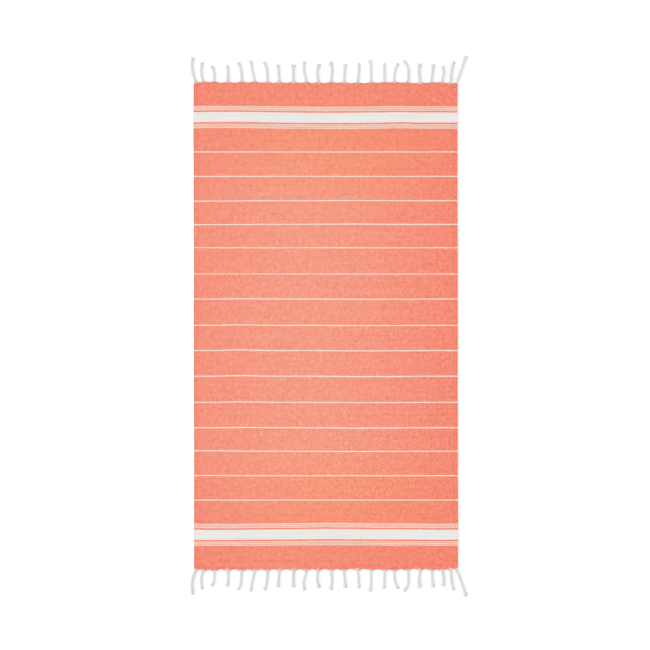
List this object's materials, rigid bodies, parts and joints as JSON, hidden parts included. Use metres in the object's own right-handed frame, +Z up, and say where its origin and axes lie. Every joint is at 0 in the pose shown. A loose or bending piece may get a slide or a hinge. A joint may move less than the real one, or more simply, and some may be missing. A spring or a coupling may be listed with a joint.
{
  "type": "hammam towel",
  "caption": "Flat-woven coral cotton towel with white cross stripes and a banded border, laid flat, with twisted and knotted white tassels at both ends.",
  "frame": {"origin": "on the surface that the towel lies on, under the middle of its whole outline, tassels included", "axes": "+Z up from the surface, +Y along the length towards the end at the top of the picture, +X across towards the picture's right"},
  "size_m": [0.9484, 1.8528, 0.0136],
  "materials": {
    "coral_cotton": "matt flat-woven cotton, coral weft over a white warp",
    "white_cotton": "matt bleached cotton yarn, twisted and knotted"
  },
  "bodies": {
    "root": {"cloth": "coral_cotton", "fringe_top": "white_cotton", "fringe_bottom": "white_cotton"}
  },
  "joints": []
}
